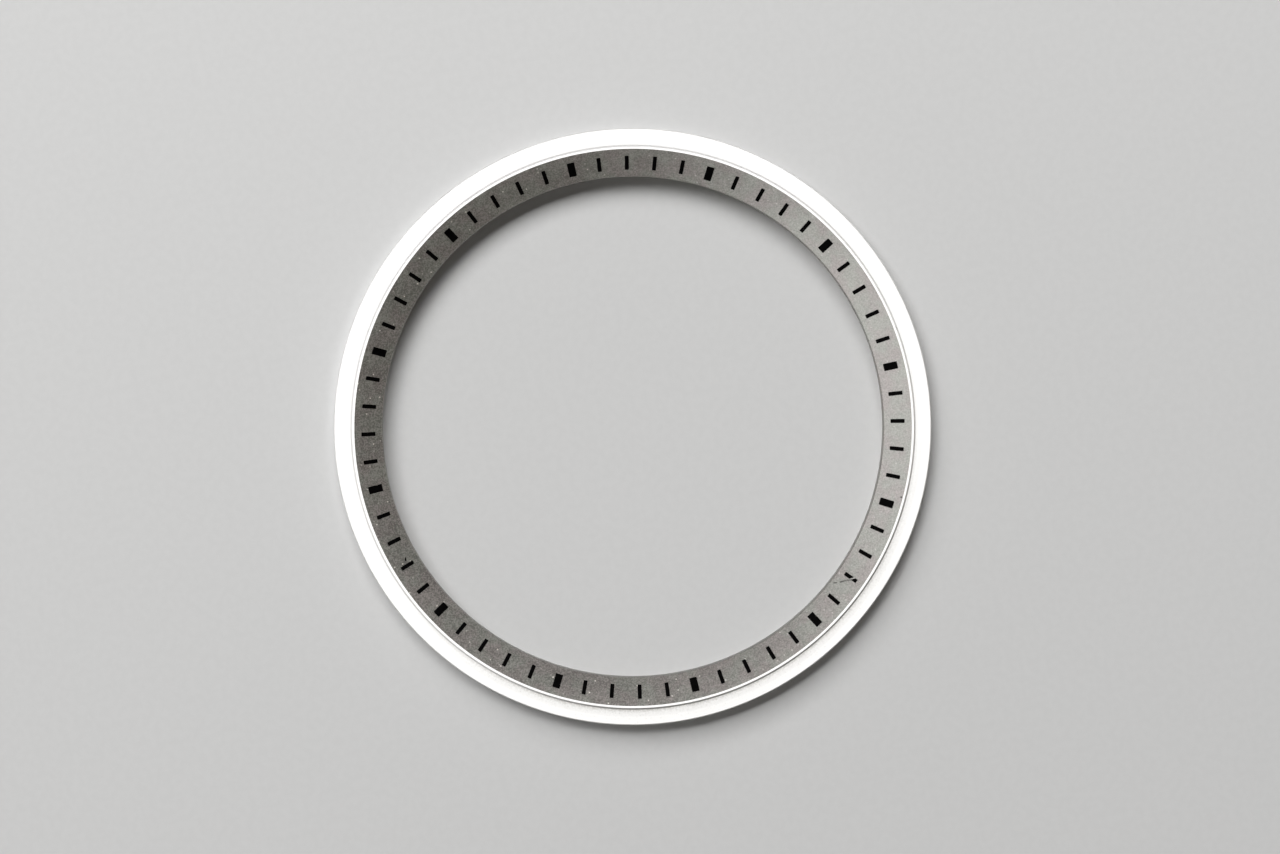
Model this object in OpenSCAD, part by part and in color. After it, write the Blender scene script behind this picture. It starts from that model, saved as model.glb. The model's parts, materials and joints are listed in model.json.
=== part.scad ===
// Watch chapter ring: a turned metal ring that frames the dial under the crystal.
// The ring lies flat on z = 0 with its axis on Z, and the zero-minute mark points to +Y.
// A low flange runs round the outside, a rim stands inside it, and a cone falls from the
// rim to the opening. The cone carries sixty printed minute marks, twelve of them wide.

/* [Ring] */
// Outside diameter of the flange
outer_d = 31.5; // [20:0.1:45]
// Height of the whole ring, from the underside to the top of the rim
ring_h = 1.85; // [1.4:0.05:2.6]
// Small bevel on the turned edges, apart from the rim's
edge_break = 0.04; // [0.02:0.01:0.1]

/* [Flange and rim] */
// Width of the flange, from its outer edge to the foot of the rim
flange_w = 0.9; // [0.4:0.05:2]
// Thickness of the flange
flange_t = 0.75; // [0.3:0.05:1.2]
// Width of the rim, from the cone to the rim's outer wall
rim_w = 0.2; // [0.14:0.01:0.4]
// Bevel on the rim's outer edge, which leaves a narrow flat on top
rim_bevel = 0.09; // [0.02:0.01:0.12]

/* [Cone and opening] */
// Width of the cone seen from above, from the rim to the opening
cone_w = 1.45; // [1.25:0.05:3]
// Height of the straight wall round the opening
land_h = 1.1; // [0.4:0.05:1.3]

/* [Minute marks] */
// Distance across the cone from the opening to the near end of a mark, seen from above
mark_inset = 0.38; // [0.2:0.02:0.6]
// Length of a mark, seen from above
mark_l = 0.69; // [0.4:0.01:0.9]
// Width of a five-minute mark
five_mark_w = 0.37; // [0.24:0.01:0.6]
// Width of a one-minute mark
minute_mark_w = 0.185; // [0.1:0.005:0.3]
// Radius of the corners of a mark
mark_corner_r = 0.02; // [0.01:0.005:0.04]
// Thickness of the printed ink
ink_t = 0.03; // [0.01:0.005:0.06]

/* [Hidden] */
$fn = 120;

minutes_round = 60;
minutes_between = 5;
five_marks = minutes_round / minutes_between;

// Radii of the flange's edge, the rim's two edges and the opening, from the outside in.
outer_r = outer_d / 2;
rim_out_r = outer_r - flange_w;
rim_in_r = rim_out_r - rim_w;
bore_r = rim_in_r - cone_w;

// The cone runs straight from the top of the opening's wall to the top of the rim.
cone_slope = (ring_h - land_h) / (rim_in_r - bore_r);
cone_a = atan(cone_slope);
function cone_z(r) = land_h + (r - bore_r) * cone_slope;

// The marks stand on the cone, all at one distance from the opening.
mark_r_in = bore_r + mark_inset;
mark_r_out = mark_r_in + mark_l;

// Turned section of the ring, from the underside round the outside to the opening.
module ring_section() {
    polygon([
        [bore_r + edge_break, 0],
        [outer_r - edge_break, 0],
        [outer_r, edge_break],
        [outer_r, flange_t - edge_break],
        [outer_r - edge_break, flange_t],
        [rim_out_r, flange_t],
        [rim_out_r, ring_h - rim_bevel],
        [rim_out_r - rim_bevel, ring_h],
        [rim_in_r, ring_h],
        [bore_r + edge_break, cone_z(bore_r + edge_break)],
        [bore_r, land_h - edge_break],
        [bore_r, edge_break]
    ]);
}

module ring_body() {
    color("gainsboro") rotate_extrude() ring_section();
}

// Thin layer that lies on the cone, longer at both ends than the marks cut from it.
module ink_layer() {
    spare = mark_inset / 2;
    near = mark_r_in - spare;
    far = mark_r_out + spare;
    out = ink_t * sin(cone_a);
    up = ink_t * cos(cone_a);
    rotate_extrude() polygon([
        [near, cone_z(near)],
        [far, cone_z(far)],
        [far - out, cone_z(far) + up],
        [near - out, cone_z(near) + up]
    ]);
}

// Outline of one mark seen from above, pointing to +Y, with round corners.
module mark_outline(w) {
    r = mark_corner_r;
    translate([r - w / 2, mark_r_in]) square([w - 2 * r, mark_l]);
    translate([-w / 2, mark_r_in + r]) square([w, mark_l - 2 * r]);
    for (x = [r - w / 2, w / 2 - r], y = [mark_r_in + r, mark_r_out - r])
        translate([x, y]) circle(r);
}

// One mark at its minute, counted clockwise from +Y seen from above.
module mark(minute, w) {
    rotate(-minute * 360 / minutes_round) intersection() {
        ink_layer();
        linear_extrude(ring_h + ink_t) mark_outline(w);
    }
}

module five_minute_mark(minute) {
    color("black") mark(minute, five_mark_w);
}

// The four one-minute marks that follow a five-minute mark.
module minute_marks(after) {
    color("black") for (step = [1 : minutes_between - 1]) mark(after + step, minute_mark_w);
}

ring_body();
for (i = [0 : five_marks - 1]) {
    five_minute_mark(i * minutes_between);
    minute_marks(i * minutes_between);
}
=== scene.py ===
import json
import math

import bmesh
import bpy
from bpy.props import FloatProperty, FloatVectorProperty, IntProperty, PointerProperty
from mathutils import Matrix, Vector


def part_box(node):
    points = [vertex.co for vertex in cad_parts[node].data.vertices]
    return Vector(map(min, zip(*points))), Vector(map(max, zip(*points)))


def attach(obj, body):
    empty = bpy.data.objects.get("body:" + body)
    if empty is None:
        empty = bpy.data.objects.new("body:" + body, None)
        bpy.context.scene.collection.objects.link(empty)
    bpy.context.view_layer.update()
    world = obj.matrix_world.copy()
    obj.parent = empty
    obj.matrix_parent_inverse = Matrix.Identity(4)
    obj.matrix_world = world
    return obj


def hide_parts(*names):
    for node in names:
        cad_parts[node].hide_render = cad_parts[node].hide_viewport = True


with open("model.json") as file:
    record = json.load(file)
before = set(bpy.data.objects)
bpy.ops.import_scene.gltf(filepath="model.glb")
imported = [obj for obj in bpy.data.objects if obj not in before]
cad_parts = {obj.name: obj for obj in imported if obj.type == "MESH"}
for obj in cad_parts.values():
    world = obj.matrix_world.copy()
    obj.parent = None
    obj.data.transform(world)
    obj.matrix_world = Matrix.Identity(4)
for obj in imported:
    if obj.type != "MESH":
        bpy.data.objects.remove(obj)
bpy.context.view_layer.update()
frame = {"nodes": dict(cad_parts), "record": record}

bl_info = {
    "name": "Watch chapter ring",
    "version": (1, 0, 0),
    "blender": (4, 5, 0),
    "location": "View3D > Sidebar > Chapter ring",
    "description": "Dresses a turned watch chapter ring with its finishes and printed minute marks",
    "category": "Object",
}

MM = 0.001
SAME_PLACE = 0.001 * MM
MINUTES = 60
STEP = 5
MOUNTS = {mount["name"]: mount for mount in frame["record"]["mounts"]}
FIVE_MINUTE_NODES = [f"five_minute_mark_{m:02d}" for m in range(0, MINUTES, STEP)]
MINUTE_NODES = [f"minute_marks_{m + 1:02d}_{m + STEP - 1:02d}" for m in range(0, MINUTES, STEP)]

# Wear, the ink fleck and the painted shade at the rim's foot, placed by minute, or by minute and radius
# in millimetres
SCRATCHED_MARK = 23
SCRATCH_STROKES = (
    ((23.53, 13.40), (23.46, 13.50)),
    ((23.36, 13.63), (23.27, 13.72)),
    ((23.27, 13.72), (23.05, 14.01)),
)
SCRATCH_GAP = ((23.29, 13.70), (22.95, 14.07))
NICK = (45.13, 13.81)
FLECK = (42.23, 13.83)
FLECK_POINTS_TO = 13.4 / 6
PIT = (19.66, 14.57)
# Minutes towards which the painted shade lies on the rim's wall and on the flange, on the side away from
# the light
RIM_SHADE_MINUTE = 27
FLANGE_SHADE_MINUTE = 29
ROUGH_MINUTE = 45

# Steps in a finished corner of the section, and in the round at the rim's foot
CORNER_STEPS = 4.0
FOOT_STEPS = 10.0

# Heights of a pad's side, shoulder and top, as shares of the ink's thickness
PAD_HEIGHTS = (0.55, 0.88, 1.0)

# Scale of the noise that a printed edge wanders by, and the gain on the wander
EDGE_WAVES = 9000.0
EDGE_GAIN = 4.0

# Distances in which the painted shade and its darker specks fade outwards from the rim's foot
SHADE_FADE = 0.17 * MM
SPECKS_FADE = 0.4 * MM

# Width of the cells of which some hold a pale speck
SPECK_CELL = 0.42 * MM

# The cone's metal drifts between a rosy and a greenish grey
ROSY_TINT = (1.02, 0.982, 1.0, 1)
GREENISH_TINT = (0.982, 1.016, 0.998, 1)

# The side card's light is a little cooler than the room's, which is warmest on its dim side
SIDE_TINT = (0.985, 1.0, 1.04)
BRIGHT_ROOM_TINT = (1.02, 1.0, 1.0, 1)
DIM_ROOM_TINT = (1.045, 1.0, 0.925, 1)

SKYWARD = Vector((0, 0, 1))

# Sides that the lights come from, as shares of the picture's right and up
LIGHT_SIDE = (-0.39, 0.92)
KEY_SIDE = (-0.42, 0.91)
CARD_SIDE = (-0.961, -0.276)

# Width and height of each lamp, in metres
OVERHEAD_SIZE = (0.55, 0.55)
KEY_SIZE = (0.55, 0.26)
CARD_SIZE = (1.1, 0.3)

# Height of the overhead card and its shift to the light's side, in metres
OVERHEAD_HEIGHT = 0.45
OVERHEAD_SHIFT = 0.08

# Distance of the other two lamps in metres, their rise in degrees, and the side card's roll
LAMP_FAR = 0.5
KEY_RISE = 47
CARD_RISE = 35
CARD_ROLL = 0.06

# Heights of the view between which the room's walls fade in and out
ROOM_WALL_FOOT = (-0.12, -0.02)
ROOM_WALL_TOP = (0.06, 0.22)


def clock_place(minute, radius_mm):
    """The point of the plan at that minute and radius."""
    turn = math.tau * minute / MINUTES
    return Vector((math.sin(turn), math.cos(turn), 0)) * radius_mm * MM


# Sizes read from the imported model

def mount_radius(name):
    """Radius of a round mount, in metres."""
    return MOUNTS[name]["dims"]["r_mm"] * MM


def mount_height(name):
    """Height of a mount's point above the underside, in metres."""
    return MOUNTS[name]["pos_m"][2]


def mount_half_length(name):
    """Half the length of a round mount's wall, in metres."""
    return MOUNTS[name]["dims"]["length_mm"] * MM / 2


def rim_flat_radius():
    """Radius where the cone meets the flat on the rim, read from the ring's topmost points."""
    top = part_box("ring_body")[1].z
    points = frame["nodes"]["ring_body"].data.vertices
    return min(v.co.xy.length for v in points if top - v.co.z < SAME_PLACE)


def narrow_mark_width():
    """Width of the one-minute mark that follows the zero-minute mark."""
    turn = Matrix.Rotation(math.tau / MINUTES, 2)
    reach = 0.3 * MM
    points = [turn @ v.co.xy for v in frame["nodes"]["minute_marks_01_04"].data.vertices]
    near = [p.x for p in points if abs(p.x) < reach]
    return max(near) - min(near)


RING_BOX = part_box("ring_body")
MARK_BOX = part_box("five_minute_mark_00")
WALL_FOOT = mount_height("dial_opening") - mount_half_length("dial_opening")
WALL_TOP = mount_height("dial_opening") + mount_half_length("dial_opening")
RIM_WALL_TOP = mount_height("rim_wall") + mount_half_length("rim_wall")


class RingSizes(bpy.types.PropertyGroup):
    """Sizes of the turned ring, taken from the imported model."""

    outer_r: FloatProperty(
        name="Outer radius", description="Radius of the flange's edge",
        default=mount_radius("flange_edge"), precision=5, unit="LENGTH")
    rim_r: FloatProperty(
        name="Rim radius", description="Radius of the rim's outer wall",
        default=mount_radius("rim_wall"), precision=5, unit="LENGTH")
    cone_r: FloatProperty(
        name="Cone radius", description="Radius of the cone's upper edge",
        default=rim_flat_radius(), precision=5, unit="LENGTH")
    bore_r: FloatProperty(
        name="Opening radius", description="Radius of the opening round the dial",
        default=mount_radius("dial_opening"), precision=5, unit="LENGTH")
    height: FloatProperty(
        name="Height", description="Height of the ring, from the underside to the rim's top",
        default=RING_BOX[1].z, precision=5, unit="LENGTH")
    flange_t: FloatProperty(
        name="Flange thickness", description="Thickness of the flange",
        default=mount_height("flange_top"), precision=5, unit="LENGTH")
    land_h: FloatProperty(
        name="Wall height", description="Height of the straight wall round the opening",
        default=WALL_TOP + WALL_FOOT, precision=5, unit="LENGTH")
    edge_break: FloatProperty(
        name="Edge break", description="Small bevel on the turned edges",
        default=WALL_FOOT, precision=5, unit="LENGTH")
    rim_bevel: FloatProperty(
        name="Rim bevel", description="Bevel on the rim's outer edge",
        default=RING_BOX[1].z - RIM_WALL_TOP, precision=5, unit="LENGTH")
    corner_r: FloatProperty(
        name="Corner radius", description="Radius that the finishing leaves on a turned corner",
        default=0.012 * MM, precision=6, unit="LENGTH")
    foot_r: FloatProperty(
        name="Foot radius", description="Radius that the tool's nose leaves at the rim's foot",
        default=0.03 * MM, precision=6, unit="LENGTH")
    segments: IntProperty(
        name="Segments", description="Steps round the ring",
        default=720, min=90)


class MarkSizes(bpy.types.PropertyGroup):
    """Sizes of the printed minute marks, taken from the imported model."""

    near_r: FloatProperty(
        name="Near radius", description="Radius of the marks' inner ends",
        default=MARK_BOX[0].y, precision=5, unit="LENGTH")
    far_r: FloatProperty(
        name="Far radius", description="Radius of the marks' outer ends",
        default=MARK_BOX[1].y, precision=5, unit="LENGTH")
    wide_w: FloatProperty(
        name="Wide mark", description="Width of a five-minute mark",
        default=2 * MARK_BOX[1].x, precision=5, unit="LENGTH")
    narrow_w: FloatProperty(
        name="Narrow mark", description="Width of a one-minute mark",
        default=narrow_mark_width(), precision=5, unit="LENGTH")
    ink_t: FloatProperty(
        name="Ink thickness", description="Thickness of the ink on the cone",
        default=0.028 * MM, precision=6, unit="LENGTH")
    sunk: FloatProperty(
        name="Sunk", description="How far the ink's underside reaches into the cone",
        default=0.004 * MM, precision=6, unit="LENGTH")
    corner_r: FloatProperty(
        name="Corner radius", description="Radius of a mark's corners",
        default=0.02 * MM, precision=6, unit="LENGTH")
    soft_edge: FloatProperty(
        name="Soft edge", description="How far the ink's upper edge is rounded in",
        default=0.005 * MM, precision=6, unit="LENGTH")
    spread: FloatProperty(
        name="Spread", description="How far the ink runs out past the drawn mark",
        default=0.01 * MM, precision=6, unit="LENGTH")
    uneven: FloatProperty(
        name="Uneven edge", description="How far the printed edge wanders",
        default=0.005 * MM, precision=6, unit="LENGTH")
    scratch_w: FloatProperty(
        name="Scratch width", description="Width of the scratch that breaks one mark",
        default=0.07 * MM, precision=6, unit="LENGTH")
    nick_depth: FloatProperty(
        name="Nick depth", description="Depth of the nick in the forty-five-minute mark",
        default=0.035 * MM, precision=6, unit="LENGTH")
    fleck_l: FloatProperty(
        name="Fleck length", description="Length of the ink fleck beside the forty-two-minute mark",
        default=0.24 * MM, precision=6, unit="LENGTH")
    fleck_w: FloatProperty(
        name="Fleck width", description="Width of the ink fleck",
        default=0.085 * MM, precision=6, unit="LENGTH")
    edge_step: FloatProperty(
        name="Edge step", description="Length of the short sides that a mark's outline is made of",
        default=0.05 * MM, precision=6, unit="LENGTH")


class FinishColours(bpy.types.PropertyGroup):
    """Colours of the ring, its marks and the floor."""

    flat_metal: FloatVectorProperty(
        name="Turned metal", description="Colour of the bright turned faces",
        subtype="COLOR", size=4, min=0, max=1, default=(0.7, 0.697, 0.688, 1))
    cone_metal: FloatVectorProperty(
        name="Satin cone", description="Colour of the blasted cone",
        subtype="COLOR", size=4, min=0, max=1, default=(0.286, 0.276, 0.256, 1))
    # Colour of the painted shade and its darker specks at the rim's foot
    foot_shade_colour: FloatVectorProperty(
        name="Stain", description="Colour of the old grease at the rim's foot",
        subtype="COLOR", size=4, min=0, max=1, default=(0.215, 0.205, 0.185, 1))
    ink: FloatVectorProperty(
        name="Mark ink", description="Colour of the printing ink",
        subtype="COLOR", size=4, min=0, max=1, default=(0.0013, 0.0012, 0.0012, 1))
    floor: FloatVectorProperty(
        name="Floor", description="Colour of the studio floor",
        subtype="COLOR", size=4, min=0, max=1, default=(0.62, 0.62, 0.616, 1))


class StudioSizes(bpy.types.PropertyGroup):
    """Camera, floor and lights of the studio."""

    view_w: FloatProperty(
        name="View width", description="Width of the picture at the height of the flange",
        default=67.5 * MM, precision=4, unit="LENGTH")
    camera_far: FloatProperty(
        name="Camera distance", description="Distance from the flange to the camera",
        default=300 * MM, precision=4, unit="LENGTH")
    camera_tilt: FloatProperty(
        name="Camera tilt", description="Lean of the camera off the vertical",
        default=math.radians(2.2), subtype="ANGLE")
    tilt_side: FloatProperty(
        name="Tilt side", description="Side that the camera leans to, from the picture's top to the left",
        default=math.radians(31), subtype="ANGLE")
    ring_turn: FloatProperty(
        name="Ring turn", description="How far the zero-minute mark lies left of the picture's top",
        default=math.radians(13.4), subtype="ANGLE")
    off_right: FloatProperty(
        name="Off right", description="How far the picture's middle lies right of the ring's middle",
        default=0.371 * MM, precision=6, unit="LENGTH")
    off_up: FloatProperty(
        name="Off up", description="How far the picture's middle lies above the ring's middle",
        default=0.008 * MM, precision=6, unit="LENGTH")
    overhead: FloatProperty(
        name="Overhead card", description="Brightness of the card that the flats reflect",
        default=1.55, min=0)
    side: FloatProperty(
        name="Side card", description="Brightness of the card at the left that the cone reflects",
        default=2.17, min=0)
    key: FloatProperty(
        name="Key light", description="Brightness of the softbox that lights the floor",
        default=8.0, min=0)
    room: FloatProperty(
        name="Room light", description="Brightness of the room overhead",
        default=0.24, min=0)
    fill: FloatProperty(
        name="Fill", description="Share of the room's light that falls on the floor",
        default=0.3, min=0, max=1)
    near_wall: FloatProperty(
        name="Bright wall", description="Brightness of the room's wall on the light's side",
        default=2.5, min=0)
    far_wall: FloatProperty(
        name="Dim wall", description="Brightness of the room's wall on the other side",
        default=0.1, min=0)
    floor_w: FloatProperty(
        name="Floor width", description="Width of the floor",
        default=4.0, unit="LENGTH")


# Node trees

class Graph:
    """Adds nodes to a material, world or geometry tree."""

    def __init__(self, tree):
        self.tree = tree

    def feed(self, socket, value):
        """Links an input to another node's output, or sets it to a plain value."""
        if isinstance(value, bpy.types.NodeSocket):
            self.tree.links.new(value, socket)
        else:
            socket.default_value = value

    def add(self, kind, inputs=None, **settings):
        """A node of that kind, with its settings made and its inputs linked or set."""
        node = self.tree.nodes.new(kind)
        for key, value in settings.items():
            setattr(node, key, value)
        for key, value in (inputs or {}).items():
            self.feed(node.inputs[key], value)
        return node

    def math(self, operation, *values):
        return self.add("ShaderNodeMath", dict(enumerate(values)), operation=operation).outputs[0]

    def vector(self, operation, *values):
        node = self.add("ShaderNodeVectorMath", dict(enumerate(values)), operation=operation)
        return node.outputs["Value" if operation in ("LENGTH", "DISTANCE", "DOT_PRODUCT") else "Vector"]

    def scaled(self, vector, factor):
        return self.add(
            "ShaderNodeVectorMath", {"Vector": vector, "Scale": factor}, operation="SCALE").outputs[0]

    def smooth(self, value, low, high, to_low=0.0, to_high=1.0):
        """A value carried smoothly from one range to another, and held at its ends."""
        node = self.add(
            "ShaderNodeMapRange",
            {"Value": value, "From Min": low, "From Max": high, "To Min": to_low, "To Max": to_high},
            interpolation_type="SMOOTHSTEP")
        return node.outputs["Result"]

    def radius_and_height(self, position):
        """Distance of a point from Z, and its height."""
        flat = self.vector("MULTIPLY", position, (1, 1, 0))
        height = self.add("ShaderNodeSeparateXYZ", {0: position}).outputs["Z"]
        return self.vector("LENGTH", flat), height


class Grower(Graph):
    """A geometry tree with named inputs, which grows a plain mesh from a base mesh."""

    def __init__(self, name):
        super().__init__(bpy.data.node_groups.new(name, "GeometryNodeTree"))
        self.idents = {}
        self.declare("Geometry", "NodeSocketGeometry")
        self.tree.interface.new_socket("Geometry", in_out="OUTPUT", socket_type="NodeSocketGeometry")
        self.start = self.tree.nodes.new("NodeGroupInput")
        self.end = self.tree.nodes.new("NodeGroupOutput")

    def declare(self, name, kind="NodeSocketFloat"):
        self.idents[name] = self.tree.interface.new_socket(
            name, in_out="INPUT", socket_type=kind).identifier

    def given(self, name):
        """The output that carries a named input."""
        ident = self.idents[name]
        return next(s for s in self.start.outputs if s.identifier == ident)

    def grow(self, name, base, values, bevel_normals=False):
        """The mesh that the tree makes from the base mesh, as a new object at the origin."""
        carrier = bpy.data.objects.new(name + "_carrier", base)
        bpy.context.scene.collection.objects.link(carrier)
        modifier = carrier.modifiers.new("Grow", "NODES")
        modifier.node_group = self.tree
        for key, value in values.items():
            modifier[self.idents[key]] = value
        if bevel_normals:
            weighted = carrier.modifiers.new("Flat faces", "WEIGHTED_NORMAL")
            weighted.mode = "FACE_AREA"
            weighted.weight = 100
        graph = bpy.context.evaluated_depsgraph_get()
        mesh = bpy.data.meshes.new_from_object(carrier.evaluated_get(graph), depsgraph=graph)
        carrier.modifiers.clear()
        bpy.data.objects.remove(carrier)
        if not mesh.polygons:
            raise RuntimeError(f"{name} came out empty")
        mesh.name = name
        piece = bpy.data.objects.new(name, mesh)
        bpy.context.scene.collection.objects.link(piece)
        return piece


# The turned ring

def cone_slope(sizes):
    """Rise of the cone for each metre outwards."""
    return (sizes.height - sizes.land_h) / (sizes.cone_r - sizes.bore_r)


def cone_height(sizes, radius):
    """Height of the cone at a radius."""
    return sizes.height - (sizes.cone_r - radius) * cone_slope(sizes)


def section_corners(sizes):
    """Corners of the turned section as radius and height, from the opening up over the rim."""
    inner = sizes.bore_r + sizes.edge_break
    outer = sizes.outer_r - sizes.edge_break
    return [
        (sizes.bore_r, sizes.edge_break),
        (sizes.bore_r, sizes.land_h - sizes.edge_break),
        (inner, cone_height(sizes, inner)),
        (sizes.cone_r, sizes.height),
        (sizes.rim_r - sizes.rim_bevel, sizes.height),
        (sizes.rim_r, sizes.height - sizes.rim_bevel),
        (sizes.rim_r, sizes.flange_t),
        (outer, sizes.flange_t),
        (sizes.outer_r, sizes.flange_t - sizes.edge_break),
        (sizes.outer_r, sizes.edge_break),
        (outer, 0),
        (inner, 0),
    ]


def section_mesh(sizes, sweep_r):
    """The closed outline of the section, laid as the sweep needs it: height runs down the Y axis."""
    corners = [(r - sweep_r, -z, 0) for r, z in section_corners(sizes)]
    count = len(corners)
    mesh = bpy.data.meshes.new("ring_section")
    mesh.from_pydata(corners, [(i, (i + 1) % count) for i in range(count)], [])
    return mesh


def turning_tree(turned, satin):
    """Rounds the corners of a section, sweeps it once round Z and gives the cone its own finish."""
    tree = Grower("Turned ring")
    for name in ("Sweep radius", "Corner radius", "Foot radius", "Satin radius", "Satin foot"):
        tree.declare(name)
    tree.declare("Foot corner", "NodeSocketVector")
    tree.declare("Segments", "NodeSocketInt")
    outline = tree.add("GeometryNodeMeshToCurve", {"Mesh": tree.given("Geometry")}).outputs["Curve"]
    corner = tree.add("GeometryNodeInputPosition").outputs["Position"]
    at_foot = tree.math(
        "LESS_THAN", tree.vector("DISTANCE", corner, tree.given("Foot corner")), SAME_PLACE)
    widen = tree.math("SUBTRACT", tree.given("Foot radius"), tree.given("Corner radius"))
    corner_r = tree.math("MULTIPLY_ADD", at_foot, widen, tree.given("Corner radius"))
    count = tree.math("MULTIPLY_ADD", at_foot, FOOT_STEPS - CORNER_STEPS, CORNER_STEPS)
    rounded = tree.add(
        "GeometryNodeFilletCurve",
        {"Curve": outline, "Count": count, "Radius": corner_r, "Limit Radius": True},
        mode="POLY").outputs["Curve"]
    path = tree.add(
        "GeometryNodeCurvePrimitiveCircle",
        {"Resolution": tree.given("Segments"), "Radius": tree.given("Sweep radius")},
        mode="RADIUS").outputs["Curve"]
    swept = tree.add("GeometryNodeCurveToMesh", {"Curve": path, "Profile Curve": rounded}).outputs["Mesh"]
    radius, height = tree.radius_and_height(tree.add("GeometryNodeInputPosition").outputs["Position"])
    blasted = tree.math(
        "MULTIPLY", tree.math("LESS_THAN", radius, tree.given("Satin radius")),
        tree.math("GREATER_THAN", height, tree.given("Satin foot")))
    real = tree.add("GeometryNodeRealizeInstances", {"Geometry": swept}).outputs["Geometry"]
    dressed = tree.add("GeometryNodeSetMaterial", {"Geometry": real, "Material": turned}).outputs[0]
    dressed = tree.add(
        "GeometryNodeSetMaterial",
        {"Geometry": dressed, "Selection": blasted, "Material": satin}).outputs[0]
    tree.feed(tree.end.inputs[0], dressed)
    return tree


# The printed marks

def rounded_outline(width, near, far, corner, step):
    """Points round a mark seen from above, pointing to +Y, in short steps, against the clock."""
    points = []
    arcs = 3
    corners = [
        (width / 2, near, -math.pi / 2), (width / 2, far, 0),
        (-width / 2, far, math.pi / 2), (-width / 2, near, math.pi)]
    for x, y, start in corners:
        centre_x = x - math.copysign(corner, x)
        centre_y = y + corner if y == near else y - corner
        for i in range(arcs + 1):
            turn = start + i * math.pi / 2 / arcs
            points.append((centre_x + corner * math.cos(turn), centre_y + corner * math.sin(turn)))
    full = []
    for i, (x, y) in enumerate(points):
        next_x, next_y = points[(i + 1) % len(points)]
        count = max(1, round(math.hypot(next_x - x, next_y - y) / step))
        full += [(x + (next_x - x) * k / count, y + (next_y - y) * k / count) for k in range(count)]
    return full


def pad_mesh(name, width, marks, ink):
    """One ink pad on the flat: a closed shell with a softened upper edge, with its height on Z."""
    outline, inset = (
        rounded_outline(
            width + 2 * out, marks.near_r - out, marks.far_r + out, marks.corner_r + out, marks.edge_step)
        for out in (marks.spread, marks.spread - marks.soft_edge))
    if len(inset) != len(outline):
        raise RuntimeError("the mark's two outlines have different numbers of points")
    shoulder = [((a[0] + 2 * b[0]) / 3, (a[1] + 2 * b[1]) / 3) for a, b in zip(inset, outline)]
    shell = bmesh.new()
    rings = []
    heights = (-marks.sunk, *(marks.ink_t * share for share in PAD_HEIGHTS))
    for points, height in zip((outline, outline, shoulder, inset), heights):
        rings.append([shell.verts.new((x, y, height)) for x, y in points])
    count = len(outline)
    for low, high in zip(rings, rings[1:]):
        for i in range(count):
            k = (i + 1) % count
            shell.faces.new((low[i], low[k], high[k], high[i])).smooth = True
    shell.faces.new(rings[-1])
    shell.faces.new(list(reversed(rings[0])))
    mesh = bpy.data.meshes.new(name)
    shell.to_mesh(mesh)
    shell.free()
    mesh.materials.append(ink)
    return mesh


def repeated_pads(tree):
    """The base pad, repeated on the flat at every wanted minute."""
    points = tree.add("GeometryNodePoints", {"Count": tree.given("Minutes")}).outputs[0]
    minute = tree.add("GeometryNodeInputIndex").outputs["Index"]
    over = tree.add(
        "FunctionNodeIntegerMath", {0: minute, 1: tree.given("Step")}, operation="MODULO").outputs[0]
    is_five = tree.add(
        "FunctionNodeCompare", {2: over, 3: 0}, data_type="INT", operation="EQUAL").outputs[0]
    wanted = tree.add(
        "FunctionNodeBooleanMath", {0: is_five, 1: tree.given("Five-minute marks")},
        operation="XNOR").outputs[0]
    step_angle = tree.math("DIVIDE", -math.tau, tree.given("Minutes"))
    turn = tree.add("ShaderNodeCombineXYZ", {"Z": tree.math("MULTIPLY", minute, step_angle)}).outputs[0]
    rotation = tree.add("FunctionNodeEulerToRotation", {0: turn}).outputs[0]
    repeated = tree.add(
        "GeometryNodeInstanceOnPoints",
        {"Points": points, "Selection": wanted, "Instance": tree.given("Geometry"),
         "Rotation": rotation}).outputs[0]
    return tree.add("GeometryNodeRealizeInstances", {"Geometry": repeated}).outputs["Geometry"]


def uneven_pads(tree, pads):
    """The same pads with edges that wander a little on the flat."""
    place = tree.add("GeometryNodeInputPosition").outputs["Position"]
    wander = tree.add(
        "ShaderNodeTexNoise",
        {"Vector": place, "Scale": EDGE_WAVES, "Detail": 2.0, "Roughness": 0.6}).outputs["Color"]
    wander = tree.vector("MULTIPLY", tree.vector("SUBTRACT", wander, (0.5, 0.5, 0.5)), (1, 1, 0))
    wander = tree.scaled(wander, tree.math("MULTIPLY", tree.given("Uneven edge"), EDGE_GAIN))
    return tree.add("GeometryNodeSetPosition", {"Geometry": pads, "Offset": wander}).outputs[0]


def laid_pads(tree, pads):
    """The same pads laid on the cone, with their thickness square to it."""
    place = tree.add("GeometryNodeInputPosition").outputs["Position"]
    radius, height = tree.radius_and_height(place)
    slope = tree.given("Cone slope")
    up = tree.math("DIVIDE", 1.0, tree.math("SQRT", tree.math("MULTIPLY_ADD", slope, slope, 1.0)))
    drop = tree.math("MULTIPLY", tree.math("SUBTRACT", tree.given("Cone radius"), radius), slope)
    ground = tree.math("SUBTRACT", tree.given("Cone height"), drop)
    rise = tree.math("SUBTRACT", tree.math("MULTIPLY_ADD", height, up, ground), height)
    inward = tree.math("MULTIPLY", tree.math("MULTIPLY", height, up), slope)
    outward = tree.vector("NORMALIZE", tree.vector("MULTIPLY", place, (1, 1, 0)))
    offset = tree.vector(
        "SUBTRACT", tree.add("ShaderNodeCombineXYZ", {"Z": rise}).outputs[0],
        tree.scaled(outward, inward))
    return tree.add("GeometryNodeSetPosition", {"Geometry": pads, "Offset": offset}).outputs[0]


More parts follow.
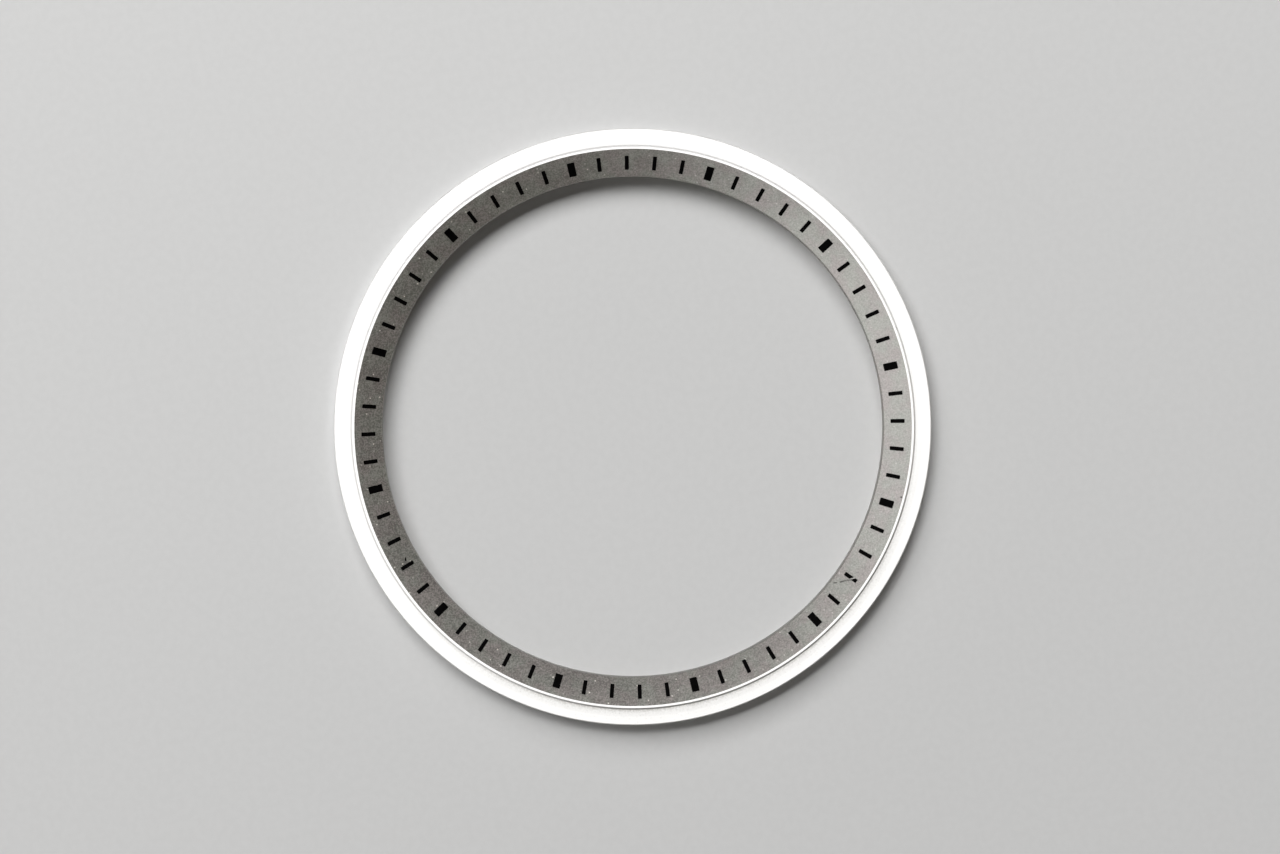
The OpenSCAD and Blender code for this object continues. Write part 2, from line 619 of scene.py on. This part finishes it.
def printing_tree(ink):
    """Repeats an ink pad at every wanted minute and lays the pads on the cone."""
    tree = Grower("Printed marks")
    for name in ("Cone radius", "Cone height", "Cone slope", "Uneven edge"):
        tree.declare(name)
    tree.declare("Minutes", "NodeSocketInt")
    tree.declare("Step", "NodeSocketInt")
    tree.declare("Five-minute marks", "NodeSocketBool")
    laid = laid_pads(tree, uneven_pads(tree, repeated_pads(tree)))
    dressed = tree.add("GeometryNodeSetMaterial", {"Geometry": laid, "Material": ink}).outputs[0]
    tree.feed(tree.end.inputs[0], dressed)
    return tree


# Wear of the printed marks

def wear(piece, change, *sizes):
    """Applies one change to a piece's mesh."""
    shell = bmesh.new()
    shell.from_mesh(piece.data)
    change(shell, *sizes)
    bmesh.ops.recalc_face_normals(shell, faces=shell.faces)
    shell.to_mesh(piece.data)
    shell.free()


def nick_mark(shell, marks):
    """Pushes a nick into the edge of the forty-five-minute mark."""
    nick = clock_place(*NICK)
    inward = clock_place(NICK[0] - MINUTES / 4, 1).normalized()
    reach = 0.05 * MM
    for vert in shell.verts:
        off = (vert.co.xy - nick.xy).length
        if off < reach:
            vert.co += inward * marks.nick_depth * (1 - (off / reach) ** 2)


def split_mark(shell, marks):
    """Cuts a scratch's gap through one minute mark and closes both cut ends."""
    start, end = (clock_place(*point) for point in SCRATCH_GAP)
    across = (end - start).normalized().cross(SKYWARD)
    middle = clock_place(SCRATCHED_MARK, (marks.near_r + marks.far_r) / 2 / MM)
    reach = 0.6 * MM
    near = [vert for vert in shell.verts if (vert.co.xy - middle.xy).length < reach]
    faces = {face for vert in near for face in vert.link_faces}
    edges = {edge for vert in near for edge in vert.link_edges}
    whole = near + list(edges) + list(faces)
    copy = bmesh.ops.duplicate(shell, geom=whole)["geom"]
    for half, side in ((whole, 1), (copy, -1)):
        cut = bmesh.ops.bisect_plane(
            shell, geom=half, plane_co=end + across * side * marks.scratch_w / 2,
            plane_no=across * side, clear_inner=True)
        rim = [item for item in cut["geom_cut"] if isinstance(item, bmesh.types.BMEdge)]
        bmesh.ops.contextual_create(shell, geom=rim)


def add_fleck(shell, marks, ring):
    """Adds a small fleck of ink beside the forty-two-minute mark, rounded with three soft lobes."""
    middle = clock_place(*FLECK)
    along = clock_place(FLECK_POINTS_TO, 1).normalized()
    across = Vector((along.y, -along.x, 0))
    steps = 14
    lobes = 3
    levels = ((1.0, -marks.sunk), (0.9, 0.006 * MM), (0.55, 0.011 * MM))
    rings = []
    for spread, rise in levels:
        level = []
        for i in range(steps):
            turn = -math.tau * i / steps
            lobed = 1 + 0.16 * math.sin(lobes * turn + 0.6)
            spot = middle + spread * lobed * 0.5 * (
                along * marks.fleck_l * math.cos(turn) + across * marks.fleck_w * math.sin(turn))
            spot.z = cone_height(ring, spot.xy.length) + rise
            level.append(shell.verts.new(spot))
        rings.append(level)
    ink_index = max(face.material_index for face in shell.faces)
    faces = [shell.faces.new(rings[-1]), shell.faces.new(list(reversed(rings[0])))]
    for low, high in zip(rings, rings[1:]):
        for i in range(steps):
            k = (i + 1) % steps
            faces.append(shell.faces.new((low[i], low[k], high[k], high[i])))
    for face in faces:
        face.smooth = True
        face.material_index = ink_index


# Finishes

def new_material(name):
    """An empty node material, its graph and its shader."""
    material = bpy.data.materials.new(name)
    material.use_nodes = True
    material.node_tree.nodes.clear()
    graph = Graph(material.node_tree)
    shader = graph.add("ShaderNodeBsdfPrincipled")
    output = graph.add("ShaderNodeOutputMaterial")
    material.node_tree.links.new(shader.outputs["BSDF"], output.inputs["Surface"])
    return material, graph, shader


def shade(colour, factor):
    """A colour made lighter or darker."""
    return tuple(min(1.0, part * factor) for part in colour[:3]) + (1.0,)


def blend(graph, factor, low, high):
    """A colour between two others."""
    node = graph.add("ShaderNodeMix", data_type="RGBA")
    graph.feed(node.inputs["Factor"], factor)
    graph.feed(node.inputs[6], low)
    graph.feed(node.inputs[7], high)
    return node.outputs[2]


def noise(graph, place, grain, detail=2.0, roughness=0.5, dimensions="3D"):
    """Noise with a grain of that size in metres, about half on average."""
    node = graph.add("ShaderNodeTexNoise", noise_dimensions=dimensions)
    graph.feed(node.inputs["W" if dimensions == "1D" else "Vector"], place)
    graph.feed(node.inputs["Scale"], 1 / grain)
    graph.feed(node.inputs["Detail"], detail)
    graph.feed(node.inputs["Roughness"], roughness)
    return node.outputs["Fac"]


def object_place(graph):
    return graph.add("ShaderNodeTexCoord").outputs["Object"]


def towards(graph, place, minute):
    """How far a point lies on one minute's side of the ring, from 1 at that minute to -1 opposite."""
    heading = graph.vector("NORMALIZE", graph.vector("MULTIPLY", place, (1, 1, 0)))
    return graph.vector("DOT_PRODUCT", heading, clock_place(minute, 1).normalized())


def line_distance(graph, plan, start, end):
    """Distance of a point of the plan from the straight line between two others."""
    course = end - start
    way = course.normalized()
    offset = graph.vector("SUBTRACT", plan, start)
    along = graph.vector("DOT_PRODUCT", offset, way)
    along = graph.math("MINIMUM", graph.math("MAXIMUM", along, 0.0), course.length)
    return graph.vector("LENGTH", graph.vector("SUBTRACT", offset, graph.scaled(way, along)))


def raise_relief(graph, shader, height, depth, strength):
    """Bends the light by a fine relief of that depth in metres."""
    bump = graph.add("ShaderNodeBump", {"Strength": strength, "Distance": depth, "Height": height})
    graph.feed(shader.inputs["Normal"], bump.outputs["Normal"])


def painted_shade_at_foot(graph, place, radius, height, sizes):
    """How much painted shade a point gets at the rim's foot on the side away from the light: a film that
    fades outwards, and darker specks, on the flange and up the wall and bevel.
    """
    speckle = noise(graph, place, 0.09 * MM, 3.0, 0.6)
    above_flange = graph.math("SUBTRACT", height, sizes.flange_t)
    low = graph.smooth(above_flange, 0.25 * MM, 0.02 * MM)
    # Painted shade also reaches up the wall and over the bevel on the side away from the light, darkening
    # the line there
    bevel_foot = sizes.height - sizes.rim_bevel
    up_wall = graph.smooth(height, bevel_foot - 0.15 * MM, bevel_foot, 0.35, 1.0)
    on_rim = graph.smooth(towards(graph, place, RIM_SHADE_MINUTE), 0.42, 0.94, 0.03, 0.56)
    on_wall = graph.math("MULTIPLY", up_wall, on_rim)
    on_flange = graph.smooth(towards(graph, place, FLANGE_SHADE_MINUTE), 0.2, 0.95, 0.05, 1.0)
    share = graph.smooth(low, 0.0, 1.0, on_wall, on_flange)
    off_foot = graph.math("MAXIMUM", graph.math("SUBTRACT", radius, sizes.rim_r), 0.0)
    thin = graph.smooth(low, 0.0, 1.0, 0.88, 0.62)
    thick = graph.smooth(low, 0.0, 1.0, 1.0, 1.25)
    # Painted shade: a film fading out from the rim's foot, with darker specks further out
    shade_film = graph.math("EXPONENT", graph.math("DIVIDE", off_foot, -SHADE_FADE))
    shade_film = graph.math("MULTIPLY", shade_film, graph.smooth(speckle, 0.35, 0.65, thin, thick))
    dark_specks = graph.math("EXPONENT", graph.math("DIVIDE", off_foot, -SPECKS_FADE))
    dark_specks = graph.math("MULTIPLY", dark_specks, graph.smooth(speckle, 0.58, 0.7, 0.0, 0.85))
    painted_share = graph.math("MULTIPLY", graph.math("MAXIMUM", shade_film, dark_specks), share)
    flat_r = sizes.rim_r - sizes.rim_bevel
    outside = graph.smooth(radius, flat_r, flat_r + 0.02 * MM)
    return graph.math("MULTIPLY", painted_share, outside)


def turned_material(colour, foot_shade_colour, sizes):
    """Bright turned metal with fine lathe lines, and painted shade with darker specks at the rim's foot
    on the side away from the light.
    """
    material, graph, shader = new_material("turned_metal")
    place = object_place(graph)
    radius, height = graph.radius_and_height(place)
    across = graph.math("SUBTRACT", radius, height)
    fine_lines = noise(graph, across, 0.035 * MM, 3.0, 0.6, "1D")
    broad_lines = noise(graph, across, 0.16 * MM, 2.0, 0.5, "1D")
    cloud = noise(graph, place, 1.4 * MM, 3.0, 0.55)
    tone = graph.math("MULTIPLY_ADD", cloud, 0.5, graph.math("MULTIPLY", broad_lines, 0.5))
    base = blend(graph, graph.smooth(tone, 0.3, 0.7), shade(colour, 0.965), shade(colour, 1.02))
    # Painted shade at the rim's foot, on the side away from the light
    base = blend(graph, painted_shade_at_foot(graph, place, radius, height, sizes), base, foot_shade_colour)
    graph.feed(shader.inputs["Base Color"], base)
    shader.inputs["Metallic"].default_value = 1.0
    rough = graph.math("MULTIPLY_ADD", fine_lines, 0.10, graph.math("MULTIPLY", cloud, 0.10))
    graph.feed(shader.inputs["Roughness"], graph.math("ADD", rough, 0.22))
    lines = graph.math("MULTIPLY_ADD", broad_lines, 0.5, fine_lines)
    raise_relief(graph, shader, lines, 0.0016 * MM, 0.5)
    return material


def blasted_colour(graph, place, colour, grain, mottle, rough_side):
    """Grey that is coarser on one side and drifts between a rosy and a greenish tint."""
    cloud = noise(graph, place, 1.8 * MM, 2.0, 0.5)
    tone = graph.math("MULTIPLY_ADD", grain, 0.68, graph.math("MULTIPLY", mottle, 0.2))
    tone = graph.math("MULTIPLY_ADD", cloud, 0.12, tone)
    strong = graph.math("MULTIPLY_ADD", rough_side, 0.6, 1.05)
    tone = graph.math("MULTIPLY_ADD", graph.math("SUBTRACT", tone, 0.5), strong, 0.5)
    grey = blend(graph, graph.smooth(tone, 0.36, 0.64), shade(colour, 0.7), shade(colour, 1.3))
    drift = graph.smooth(noise(graph, place, 0.9 * MM), 0.35, 0.65)
    return graph.vector("MULTIPLY", grey, blend(graph, drift, ROSY_TINT, GREENISH_TINT))


def hairline_scratch(graph, place, plan, ragged):
    """How deep a point lies in the hairline scratch, which is broken up and fainter at its end."""
    strokes = [
        line_distance(graph, plan, clock_place(*start), clock_place(*end))
        for start, end in SCRATCH_STROKES]
    off_line = graph.math("MINIMUM", graph.math("MINIMUM", strokes[0], strokes[1]), strokes[2])
    off_line = graph.math("MULTIPLY_ADD", ragged, 0.04 * MM, off_line)
    run = graph.vector("DISTANCE", plan, clock_place(*SCRATCH_STROKES[0][0]))
    broken = graph.smooth(noise(graph, place, 0.1 * MM, 3.0, 0.6), 0.35, 0.5, 0.7, 1.0)
    broken = graph.math("MULTIPLY", broken, graph.smooth(run, 0.5 * MM, 0.9 * MM, 1.0, 0.7))
    return graph.math("MULTIPLY", graph.smooth(off_line, 0.075 * MM, 0.03 * MM), broken)


def small_pit(graph, plan, ragged):
    """How deep a point lies in the small pit."""
    off_pit = graph.vector("LENGTH", graph.vector("SUBTRACT", plan, clock_place(*PIT)))
    off_pit = graph.math("MULTIPLY_ADD", ragged, 0.04 * MM, off_pit)
    return graph.smooth(off_pit, 0.09 * MM, 0.05 * MM)


def bared_metal(graph, plan):
    """How bright the scratch is where it crosses the printed mark."""
    off_line = line_distance(
        graph, plan, clock_place(*SCRATCH_STROKES[-1][1]), clock_place(*SCRATCH_GAP[1]))
    return graph.smooth(off_line, 0.05 * MM, 0.015 * MM, 0.0, 0.55)


def pale_specks(graph, place, radius, ragged, rough_side, sizes):
    """How pale a point is made by sparse specks, which are fainter away from the coarse side."""
    cells = graph.add(
        "ShaderNodeTexVoronoi", {"Vector": place, "Scale": 1 / SPECK_CELL}, voronoi_dimensions="2D")
    chosen = graph.add("ShaderNodeSeparateXYZ", {0: cells.outputs["Color"]}).outputs["X"]
    off_speck = graph.math("MULTIPLY_ADD", ragged, 0.12, cells.outputs["Distance"])
    speck = graph.math(
        "MULTIPLY", graph.smooth(off_speck, 0.18, 0.11), graph.smooth(chosen, 0.64, 0.97))
    speck = graph.math("MULTIPLY", speck, graph.smooth(rough_side, -0.9, 0.5, 0.12, 0.95))
    wall_r = sizes.bore_r + sizes.edge_break
    return graph.math("MULTIPLY", speck, graph.smooth(radius, wall_r, wall_r + 0.05 * MM))


def satin_material(colour, sizes):
    """Warm grey blasted metal with a fine grain, one hairline scratch, a pit and a few pale specks."""
    material, graph, shader = new_material("satin_cone")
    place = object_place(graph)
    plan = graph.vector("MULTIPLY", place, (1, 1, 0))
    radius, height = graph.radius_and_height(place)
    grain = noise(graph, place, 0.085 * MM, 3.0, 0.65)
    mottle = noise(graph, place, 0.24 * MM, 3.0, 0.6)
    ragged = noise(graph, place, 0.03 * MM, 3.0, 0.6)
    rough_side = towards(graph, place, ROUGH_MINUTE)
    base = blasted_colour(graph, place, colour, grain, mottle, rough_side)
    scratch = hairline_scratch(graph, place, plan, ragged)
    dark = graph.math("MAXIMUM", graph.math("MULTIPLY", scratch, 0.95), small_pit(graph, plan, ragged))
    base = blend(graph, dark, base, shade(colour, 0.25))
    base = blend(graph, bared_metal(graph, plan), base, shade(colour, 1.8))
    specks = pale_specks(graph, place, radius, ragged, rough_side, sizes)
    base = blend(graph, specks, base, shade(colour, 3.4))
    graph.feed(shader.inputs["Base Color"], base)
    shader.inputs["Metallic"].default_value = 1.0
    rough = graph.math("MULTIPLY_ADD", mottle, 0.12, graph.math("MULTIPLY", grain, 0.08))
    graph.feed(shader.inputs["Roughness"], graph.math("ADD", rough, 0.35))
    lines = noise(graph, graph.math("ADD", radius, height), 0.05 * MM, 2.0, 0.6, "1D")
    relief = graph.math("MULTIPLY_ADD", lines, 0.25, grain)
    relief = graph.math("SUBTRACT", relief, graph.math("MULTIPLY", scratch, 0.4))
    raise_relief(graph, shader, relief, 0.012 * MM, 1.0)
    return material


def ink_material(colour):
    """Matt black printing ink with a faint unevenness."""
    material, graph, shader = new_material("printing_ink")
    place = object_place(graph)
    grain = noise(graph, place, 0.03 * MM, 2.0, 0.6)
    patch = noise(graph, place, 0.15 * MM, 2.0, 0.5)
    tone = graph.math("MULTIPLY_ADD", grain, 0.5, graph.math("MULTIPLY", patch, 0.5))
    base = blend(graph, graph.smooth(tone, 0.35, 0.65), shade(colour, 0.6), shade(colour, 1.5))
    graph.feed(shader.inputs["Base Color"], base)
    graph.feed(shader.inputs["Roughness"], graph.smooth(patch, 0.3, 0.7, 0.42, 0.55))
    shader.inputs["Specular IOR Level"].default_value = 0.012
    raise_relief(graph, shader, grain, 0.0015 * MM, 0.4)
    return material


def floor_material(colour):
    """Plain pale card."""
    material, graph, shader = new_material("studio_floor")
    fleck = noise(graph, object_place(graph), 0.4 * MM, 2.0, 0.5)
    base = blend(graph, graph.smooth(fleck, 0.3, 0.7), shade(colour, 0.99), shade(colour, 1.01))
    graph.feed(shader.inputs["Base Color"], base)
    shader.inputs["Roughness"].default_value = 0.9
    shader.inputs["Specular IOR Level"].default_value = 0.1
    return material


# Printing

def print_marks(context, name, width, fives, nodes):
    """Prints one kind of mark all round the cone."""
    scene = context.scene
    marks, ring = scene.mark_sizes, scene.ring_sizes
    ink = bpy.data.materials.get("printing_ink") or ink_material(scene.ring_colours.ink)
    values = {
        "Cone radius": ring.cone_r,
        "Cone height": ring.height,
        "Cone slope": cone_slope(ring),
        "Uneven edge": marks.uneven,
        "Minutes": MINUTES,
        "Step": STEP,
        "Five-minute marks": fives,
    }
    piece = printing_tree(ink).grow(name, pad_mesh(name + "_pad", width, marks, ink), values)
    if fives:
        wear(piece, nick_mark, marks)
    else:
        wear(piece, split_mark, marks)
        wear(piece, add_fleck, marks, ring)
    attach(piece, "root")
    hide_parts(*nodes)


# Studio

def picture_axes(studio):
    """The picture's right and up, as directions on the floor."""
    turn = studio.ring_turn
    up = Vector((math.sin(turn), math.cos(turn), 0))
    right = Vector((math.cos(turn), -math.sin(turn), 0))
    return right, up


def picture_side(studio, side):
    """A direction on the floor, from its shares of the picture's right and up."""
    right, up = picture_axes(studio)
    return side[0] * right + side[1] * up


def lamp_place(studio, side, rise):
    """A place at the lamps' distance from the ring, on that side and that many degrees up."""
    outward = picture_side(studio, side).normalized()
    rise = math.radians(rise)
    return LAMP_FAR * (math.cos(rise) * outward + math.sin(rise) * SKYWARD)


def aim(thing, place, target, up):
    """Puts a lamp or camera at a place, looking at a target, with the other direction upward."""
    back = (place - target).normalized()
    right = up.cross(back).normalized()
    turned = Matrix((right, back.cross(right), back)).transposed().to_4x4()
    thing.matrix_world = Matrix.Translation(place) @ turned


def softbox(context, name, radiance, size, place, up):
    """A rectangular lamp of an even brightness that faces the ring."""
    lamp = bpy.data.lights.new(name, "AREA")
    lamp.shape = "RECTANGLE"
    lamp.size, lamp.size_y = size
    lamp.energy = radiance * math.pi * size[0] * size[1]
    thing = bpy.data.objects.new(name, lamp)
    context.scene.collection.objects.link(thing)
    aim(thing, place, Vector((0, 0, 0)), up)
    return thing


def hang_lamps(context, studio):
    """Hangs two cards that show in reflections only, and a softbox that lights matt colours only."""
    up = picture_axes(studio)[1]
    shift = OVERHEAD_SHIFT * picture_side(studio, LIGHT_SIDE)
    card = softbox(
        context, "overhead_card", studio.overhead, OVERHEAD_SIZE,
        OVERHEAD_HEIGHT * SKYWARD + shift, up)
    card.visible_diffuse = False
    card = softbox(
        context, "side_card", studio.side, CARD_SIZE,
        lamp_place(studio, CARD_SIDE, CARD_RISE), SKYWARD - CARD_ROLL * up)
    card.data.color = SIDE_TINT
    card.visible_diffuse = False
    key = softbox(
        context, "key_softbox", studio.key, KEY_SIZE,
        lamp_place(studio, KEY_SIDE, KEY_RISE), SKYWARD)
    key.visible_glossy = False


def make_room(studio):
    """Even light overhead and pale walls all round, brighter on the light's side."""
    world = bpy.data.worlds.new("studio_room")
    world.use_nodes = True
    graph = Graph(world.node_tree)
    view = graph.add("ShaderNodeTexCoord").outputs["Generated"]
    height = graph.add("ShaderNodeSeparateXYZ", {0: view}).outputs["Z"]
    lit = graph.vector("DOT_PRODUCT", view, picture_side(studio, LIGHT_SIDE))
    wall = graph.smooth(lit, -1.0, 0.2, studio.far_wall, studio.near_wall)
    wall = graph.smooth(height, *ROOM_WALL_FOOT, studio.room, wall)
    light = graph.smooth(height, *ROOM_WALL_TOP, wall, studio.room)
    on_card = graph.add("ShaderNodeLightPath").outputs["Is Diffuse Ray"]
    share = graph.math("MULTIPLY_ADD", on_card, studio.fill - 1, 1.0)
    tint = blend(graph, graph.smooth(lit, -0.6, 0.6), DIM_ROOM_TINT, BRIGHT_ROOM_TINT)
    back = world.node_tree.nodes["Background"]
    graph.feed(back.inputs["Color"], tint)
    graph.feed(back.inputs["Strength"], graph.math("MULTIPLY", light, share))
    return world


def lay_floor(context, studio, colour):
    """Lays a square of pale card under the ring."""
    half = studio.floor_w / 2
    mesh = bpy.data.meshes.new("studio_floor")
    corners = [(-half, -half, 0), (half, -half, 0), (half, half, 0), (-half, half, 0)]
    mesh.from_pydata(corners, [], [(0, 1, 2, 3)])
    mesh.materials.append(floor_material(colour))
    floor = bpy.data.objects.new("studio_floor", mesh)
    context.scene.collection.objects.link(floor)


def set_camera(context, studio, level):
    """Sets the camera above the ring, a little off the vertical, aimed at that height."""
    camera = bpy.data.cameras.new("camera")
    camera.sensor_width = 36
    camera.lens = camera.sensor_width * studio.camera_far / studio.view_w
    camera.clip_start = 0.01
    camera.clip_end = 20
    thing = bpy.data.objects.new("camera", camera)
    context.scene.collection.objects.link(thing)
    right, up = picture_axes(studio)
    lean = -math.sin(studio.tilt_side) * right + math.cos(studio.tilt_side) * up
    away = math.sin(studio.camera_tilt) * lean + math.cos(studio.camera_tilt) * SKYWARD
    target = level * SKYWARD + studio.off_right * right + studio.off_up * up
    aim(thing, target + studio.camera_far * away, target, up)
    context.scene.camera = thing


# Operators

class CHAPTER_OT_ring(bpy.types.Operator):
    """Turns the ring and gives its flats and its cone their finishes"""

    bl_idname = "chapter.ring"
    bl_label = "Turned ring"

    def execute(self, context):
        sizes = context.scene.ring_sizes
        colours = context.scene.ring_colours
        turned = turned_material(colours.flat_metal, colours.foot_shade_colour, sizes)
        satin = satin_material(colours.cone_metal, sizes)
        sweep_r = (sizes.bore_r + sizes.outer_r) / 2
        values = {
            "Sweep radius": sweep_r,
            "Corner radius": sizes.corner_r,
            "Foot radius": sizes.foot_r,
            "Foot corner": (sizes.rim_r - sweep_r, -sizes.flange_t, 0),
            "Satin radius": sizes.cone_r,
            "Satin foot": sizes.edge_break,
            "Segments": sizes.segments,
        }
        tree = turning_tree(turned, satin)
        ring = tree.grow("turned_ring", section_mesh(sizes, sweep_r), values, bevel_normals=True)
        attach(ring, "root")
        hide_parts("ring_body")
        return {"FINISHED"}


class CHAPTER_OT_five_minute_marks(bpy.types.Operator):
    """Prints the twelve wide marks on the cone"""

    bl_idname = "chapter.five_minute_marks"
    bl_label = "Five-minute marks"

    def execute(self, context):
        print_marks(
            context, "five_minute_marks", context.scene.mark_sizes.wide_w, True, FIVE_MINUTE_NODES)
        return {"FINISHED"}


class CHAPTER_OT_minute_marks(bpy.types.Operator):
    """Prints the forty-eight narrow marks on the cone"""

    bl_idname = "chapter.minute_marks"
    bl_label = "One-minute marks"

    def execute(self, context):
        print_marks(
            context, "minute_marks", context.scene.mark_sizes.narrow_w, False, MINUTE_NODES)
        return {"FINISHED"}


class CHAPTER_OT_studio(bpy.types.Operator):
    """Lays the floor and sets up the camera and the lights"""

    bl_idname = "chapter.studio"
    bl_label = "Studio"

    def execute(self, context):
        scene = context.scene
        studio = scene.ring_studio
        lay_floor(context, studio, scene.ring_colours.floor)
        set_camera(context, studio, scene.ring_sizes.flange_t)
        hang_lamps(context, studio)
        scene.world = make_room(studio)
        scene.view_settings.view_transform = "Standard"
        return {"FINISHED"}


class VIEW3D_PT_chapter_ring(bpy.types.Panel):
    """Lists the makers of the ring's pieces and of the studio"""

    bl_label = "Chapter ring"
    bl_space_type = "VIEW_3D"
    bl_region_type = "UI"
    bl_category = "Chapter ring"

    def draw(self, context):
        for operator in OPERATORS:
            self.layout.operator(operator.bl_idname)


OPERATORS = (
    CHAPTER_OT_studio,
    CHAPTER_OT_ring,
    CHAPTER_OT_five_minute_marks,
    CHAPTER_OT_minute_marks,
)
GROUPS = {
    "ring_sizes": RingSizes,
    "mark_sizes": MarkSizes,
    "ring_colours": FinishColours,
    "ring_studio": StudioSizes,
}


def register():
    for kind in (*GROUPS.values(), *OPERATORS, VIEW3D_PT_chapter_ring):
        bpy.utils.register_class(kind)
    for name, kind in GROUPS.items():
        setattr(bpy.types.Scene, name, PointerProperty(type=kind))


def unregister():
    for name in GROUPS:
        delattr(bpy.types.Scene, name)
    for kind in (VIEW3D_PT_chapter_ring, *reversed(OPERATORS), *reversed(GROUPS.values())):
        bpy.utils.unregister_class(kind)


def main():
    register()
    bpy.ops.chapter.studio()
    bpy.ops.chapter.ring()
    bpy.ops.chapter.five_minute_marks()
    bpy.ops.chapter.minute_marks()


if __name__ == "__main__":
    main()
